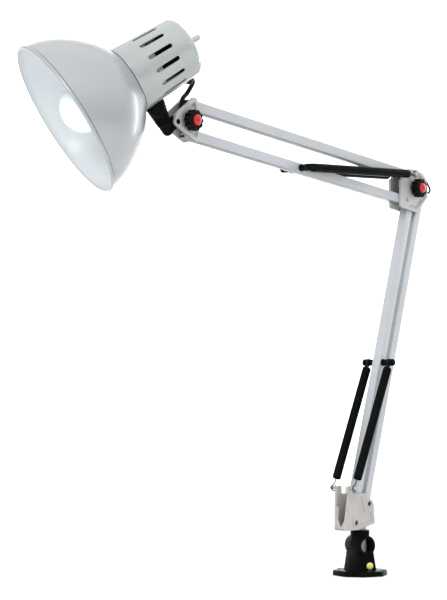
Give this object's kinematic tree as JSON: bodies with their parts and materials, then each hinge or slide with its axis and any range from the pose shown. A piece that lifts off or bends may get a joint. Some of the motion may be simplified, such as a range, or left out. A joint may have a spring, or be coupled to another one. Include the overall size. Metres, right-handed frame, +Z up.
{
  "type": "swing arm desk lamp",
  "caption": "Spring balanced swing arm desk lamp with paired square tube arms, clamp knobs, a bell shade and a screw-down base bracket.",
  "frame": {"origin": "centre of the base flange's underside, on the desk", "axes": "+Z up along the swivel shank, the arms in the XZ plane with the shade towards -X, and +Y along the arm pivots"},
  "size_m": [0.5753, 0.1546, 0.5349],
  "materials": {
    "black_plastic": "satin",
    "beige_casting": "satin",
    "grey_casting": "satin",
    "silver_tube": "satin",
    "silver_shade": "satin",
    "silver_cap": "satin",
    "steel": "bright",
    "spring_steel": "bright",
    "brass": "bright",
    "red_cap": "gloss",
    "knob_black": "satin",
    "porcelain": "gloss",
    "switch_white": "gloss",
    "bulb_glass": "frosted",
    "lead_rubber": "matte"
  },
  "bodies": {
    "base": {"base_bracket": "black_plastic"},
    "set_screw": {"brass_set_screw": "brass"},
    "swivel": {"swivel_bracket": "beige_casting", "lower_front_pin": "steel", "lower_rear_pin": "steel"},
    "rear_tube": {"lower_rear_tube": "silver_tube", "lower_tube_lead": "lead_rubber"},
    "front_tube": {"lower_front_tube": "silver_tube", "lower_spring_pin": "black_plastic"},
    "lower_springs": {"lower_sleeve_near": "black_plastic", "lower_sleeve_far": "black_plastic", "lower_spring_near": "spring_steel", "lower_spring_far": "spring_steel"},
    "lower_tails": {"lower_spring_tail_near": "spring_steel", "lower_spring_tail_far": "spring_steel"},
    "elbow": {"elbow_plate_near": "grey_casting", "elbow_plate_far": "grey_casting", "elbow_spacer": "steel", "elbow_front_pin": "steel", "elbow_rear_pin": "steel", "elbow_bottom_pin": "steel", "elbow_top_pin": "steel", "elbow_lead": "lead_rubber"},
    "elbow_clamp": {"elbow_knob": "knob_black", "elbow_knob_cap": "red_cap", "elbow_bolt": "steel"},
    "top_tube": {"upper_top_tube": "silver_tube", "upper_tube_lead": "lead_rubber"},
    "bottom_tube": {"upper_bottom_tube": "silver_tube", "upper_spring_pin": "black_plastic"},
    "upper_springs": {"upper_sleeve_near": "black_plastic", "upper_sleeve_far": "black_plastic", "upper_spring_near": "spring_steel", "upper_spring_far": "spring_steel"},
    "upper_tails": {"upper_spring_tail_near": "spring_steel", "upper_spring_tail_far": "spring_steel"},
    "head_bracket": {"head_plate_near": "grey_casting", "head_plate_far": "grey_casting", "head_spacer": "steel", "head_top_pin": "steel", "head_bottom_pin": "steel", "nose_pin": "black_plastic"},
    "head_clamp": {"head_knob": "knob_black", "head_knob_cap": "red_cap", "head_bolt": "steel"},
    "lever": {"head_lever": "black_plastic", "lever_stud": "steel", "stud_nut": "steel", "swivel_washer": "steel", "head_lead": "lead_rubber"},
    "head": {"cap_housing": "silver_cap", "swivel_saddle": "black_plastic", "shade": "silver_shade", "socket_shell": "black_plastic", "socket_ring": "porcelain", "socket_nut": "steel", "lead_grommet": "lead_rubber"},
    "bulb": {"bulb": "bulb_glass", "bulb_base": "brass"},
    "switch": {"switch_stem": "switch_white"}
  },
  "joints": [
    {"name": "set_screw_turn", "type": "hinge", "parent": "base", "child": "set_screw", "pos_m": [-0.00329, -0.01654, 0.01], "axis": [0.3665, 0.9304, 0], "continuous": true},
    {"name": "base_swivel", "type": "hinge", "parent": "base", "child": "swivel", "pos_m": [0, 0, 0.03], "axis": [0, 0, 1], "continuous": true},
    {"name": "lower_arm", "type": "hinge", "parent": "swivel", "child": "rear_tube", "pos_m": [0.0055, 0, 0.0736], "axis": [0, 1, 0], "range_deg": [-36, 10]},
    {"name": "lower_link", "type": "hinge", "parent": "swivel", "child": "front_tube", "pos_m": [-0.017, 0, 0.055], "axis": [0, 1, 0], "range_deg": [-36, 10]},
    {"name": "lower_spring_turn", "type": "hinge", "parent": "front_tube", "child": "lower_springs", "pos_m": [0.03387, 0, 0.22035], "axis": [0, 1, 0], "range_deg": [-9.5, 3], "deforming": ["lower_spring_near", "lower_spring_far"]},
    {"name": "lower_tail_turn", "type": "hinge", "parent": "swivel", "child": "lower_tails", "pos_m": [-0.0268, 0, 0.091], "axis": [0, 1, 0], "range_deg": [-45.5, 13], "deforming": ["lower_spring_tail_near", "lower_spring_tail_far"]},
    {"name": "elbow_level", "type": "hinge", "parent": "rear_tube", "child": "elbow", "pos_m": [0.10783, 0, 0.40622], "axis": [0, 1, 0], "range_deg": [-10, 36], "deforming": ["elbow_lead"]},
    {"name": "elbow_knob_turn", "type": "hinge", "parent": "elbow", "child": "elbow_clamp", "pos_m": [0.09009, 0, 0.40785], "axis": [0, 1, 0], "continuous": true},
    {"name": "upper_arm", "type": "hinge", "parent": "elbow", "child": "top_tube", "pos_m": [0.08216, 0, 0.42218], "axis": [0, 1, 0], "range_deg": [-40, 22]},
    {"name": "upper_link", "type": "hinge", "parent": "elbow", "child": "bottom_tube", "pos_m": [0.07716, 0, 0.39448], "axis": [0, 1, 0], "range_deg": [-40, 22]},
    {"name": "upper_spring_turn", "type": "hinge", "parent": "bottom_tube", "child": "upper_springs", "pos_m": [-0.10427, 0, 0.41515], "axis": [0, 1, 0], "range_deg": [-1.49, 2.3], "deforming": ["upper_spring_near", "upper_spring_far"]},
    {"name": "upper_tail_turn", "type": "hinge", "parent": "elbow", "child": "upper_tails", "pos_m": [0.08216, 0, 0.42218], "axis": [0, 1, 0], "range_deg": [-38.7, 21.51], "deforming": ["upper_spring_tail_near", "upper_spring_tail_far"]},
    {"name": "head_level", "type": "hinge", "parent": "top_tube", "child": "head_bracket", "pos_m": [-0.26957, 0, 0.46226], "axis": [0, 1, 0], "range_deg": [-22, 40]},
    {"name": "head_knob_turn", "type": "hinge", "parent": "head_bracket", "child": "head_clamp", "pos_m": [-0.27557, 0, 0.44596], "axis": [0, 1, 0], "continuous": true},
    {"name": "head_tilt", "type": "hinge", "parent": "head_bracket", "child": "lever", "pos_m": [-0.29207, 0, 0.44356], "axis": [0, 1, 0], "range_deg": [-48, 12], "deforming": ["head_lead"]},
    {"name": "head_swivel", "type": "hinge", "parent": "lever", "child": "head", "pos_m": [-0.29963, 0, 0.43765], "axis": [-0.6157, 0, 0.788], "range_deg": [-52, 108]},
    {"name": "bulb_turn", "type": "hinge", "parent": "head", "child": "bulb", "pos_m": [-0.39465, 0.03944, 0.43879], "axis": [0.6958, -0.4695, 0.5436], "continuous": true},
    {"name": "switch_turn", "type": "hinge", "parent": "head", "child": "switch", "pos_m": [-0.39465, 0.03944, 0.43879], "axis": [0.6958, -0.4695, 0.5436], "continuous": true}
  ],
  "couplings": [
    {"joint": "lower_link", "follows": "lower_arm", "ratio": 1},
    {"joint": "lower_spring_turn", "follows": "lower_arm", "ratio": 0.25},
    {"joint": "lower_tail_turn", "follows": "lower_arm", "ratio": 1.25},
    {"joint": "elbow_level", "follows": "lower_arm", "ratio": -1},
    {"joint": "upper_link", "follows": "upper_arm", "ratio": 1},
    {"joint": "upper_spring_turn", "follows": "upper_arm", "ratio": -0.045},
    {"joint": "upper_tail_turn", "follows": "upper_arm", "ratio": 0.955},
    {"joint": "head_level", "follows": "upper_arm", "ratio": -1}
  ]
}
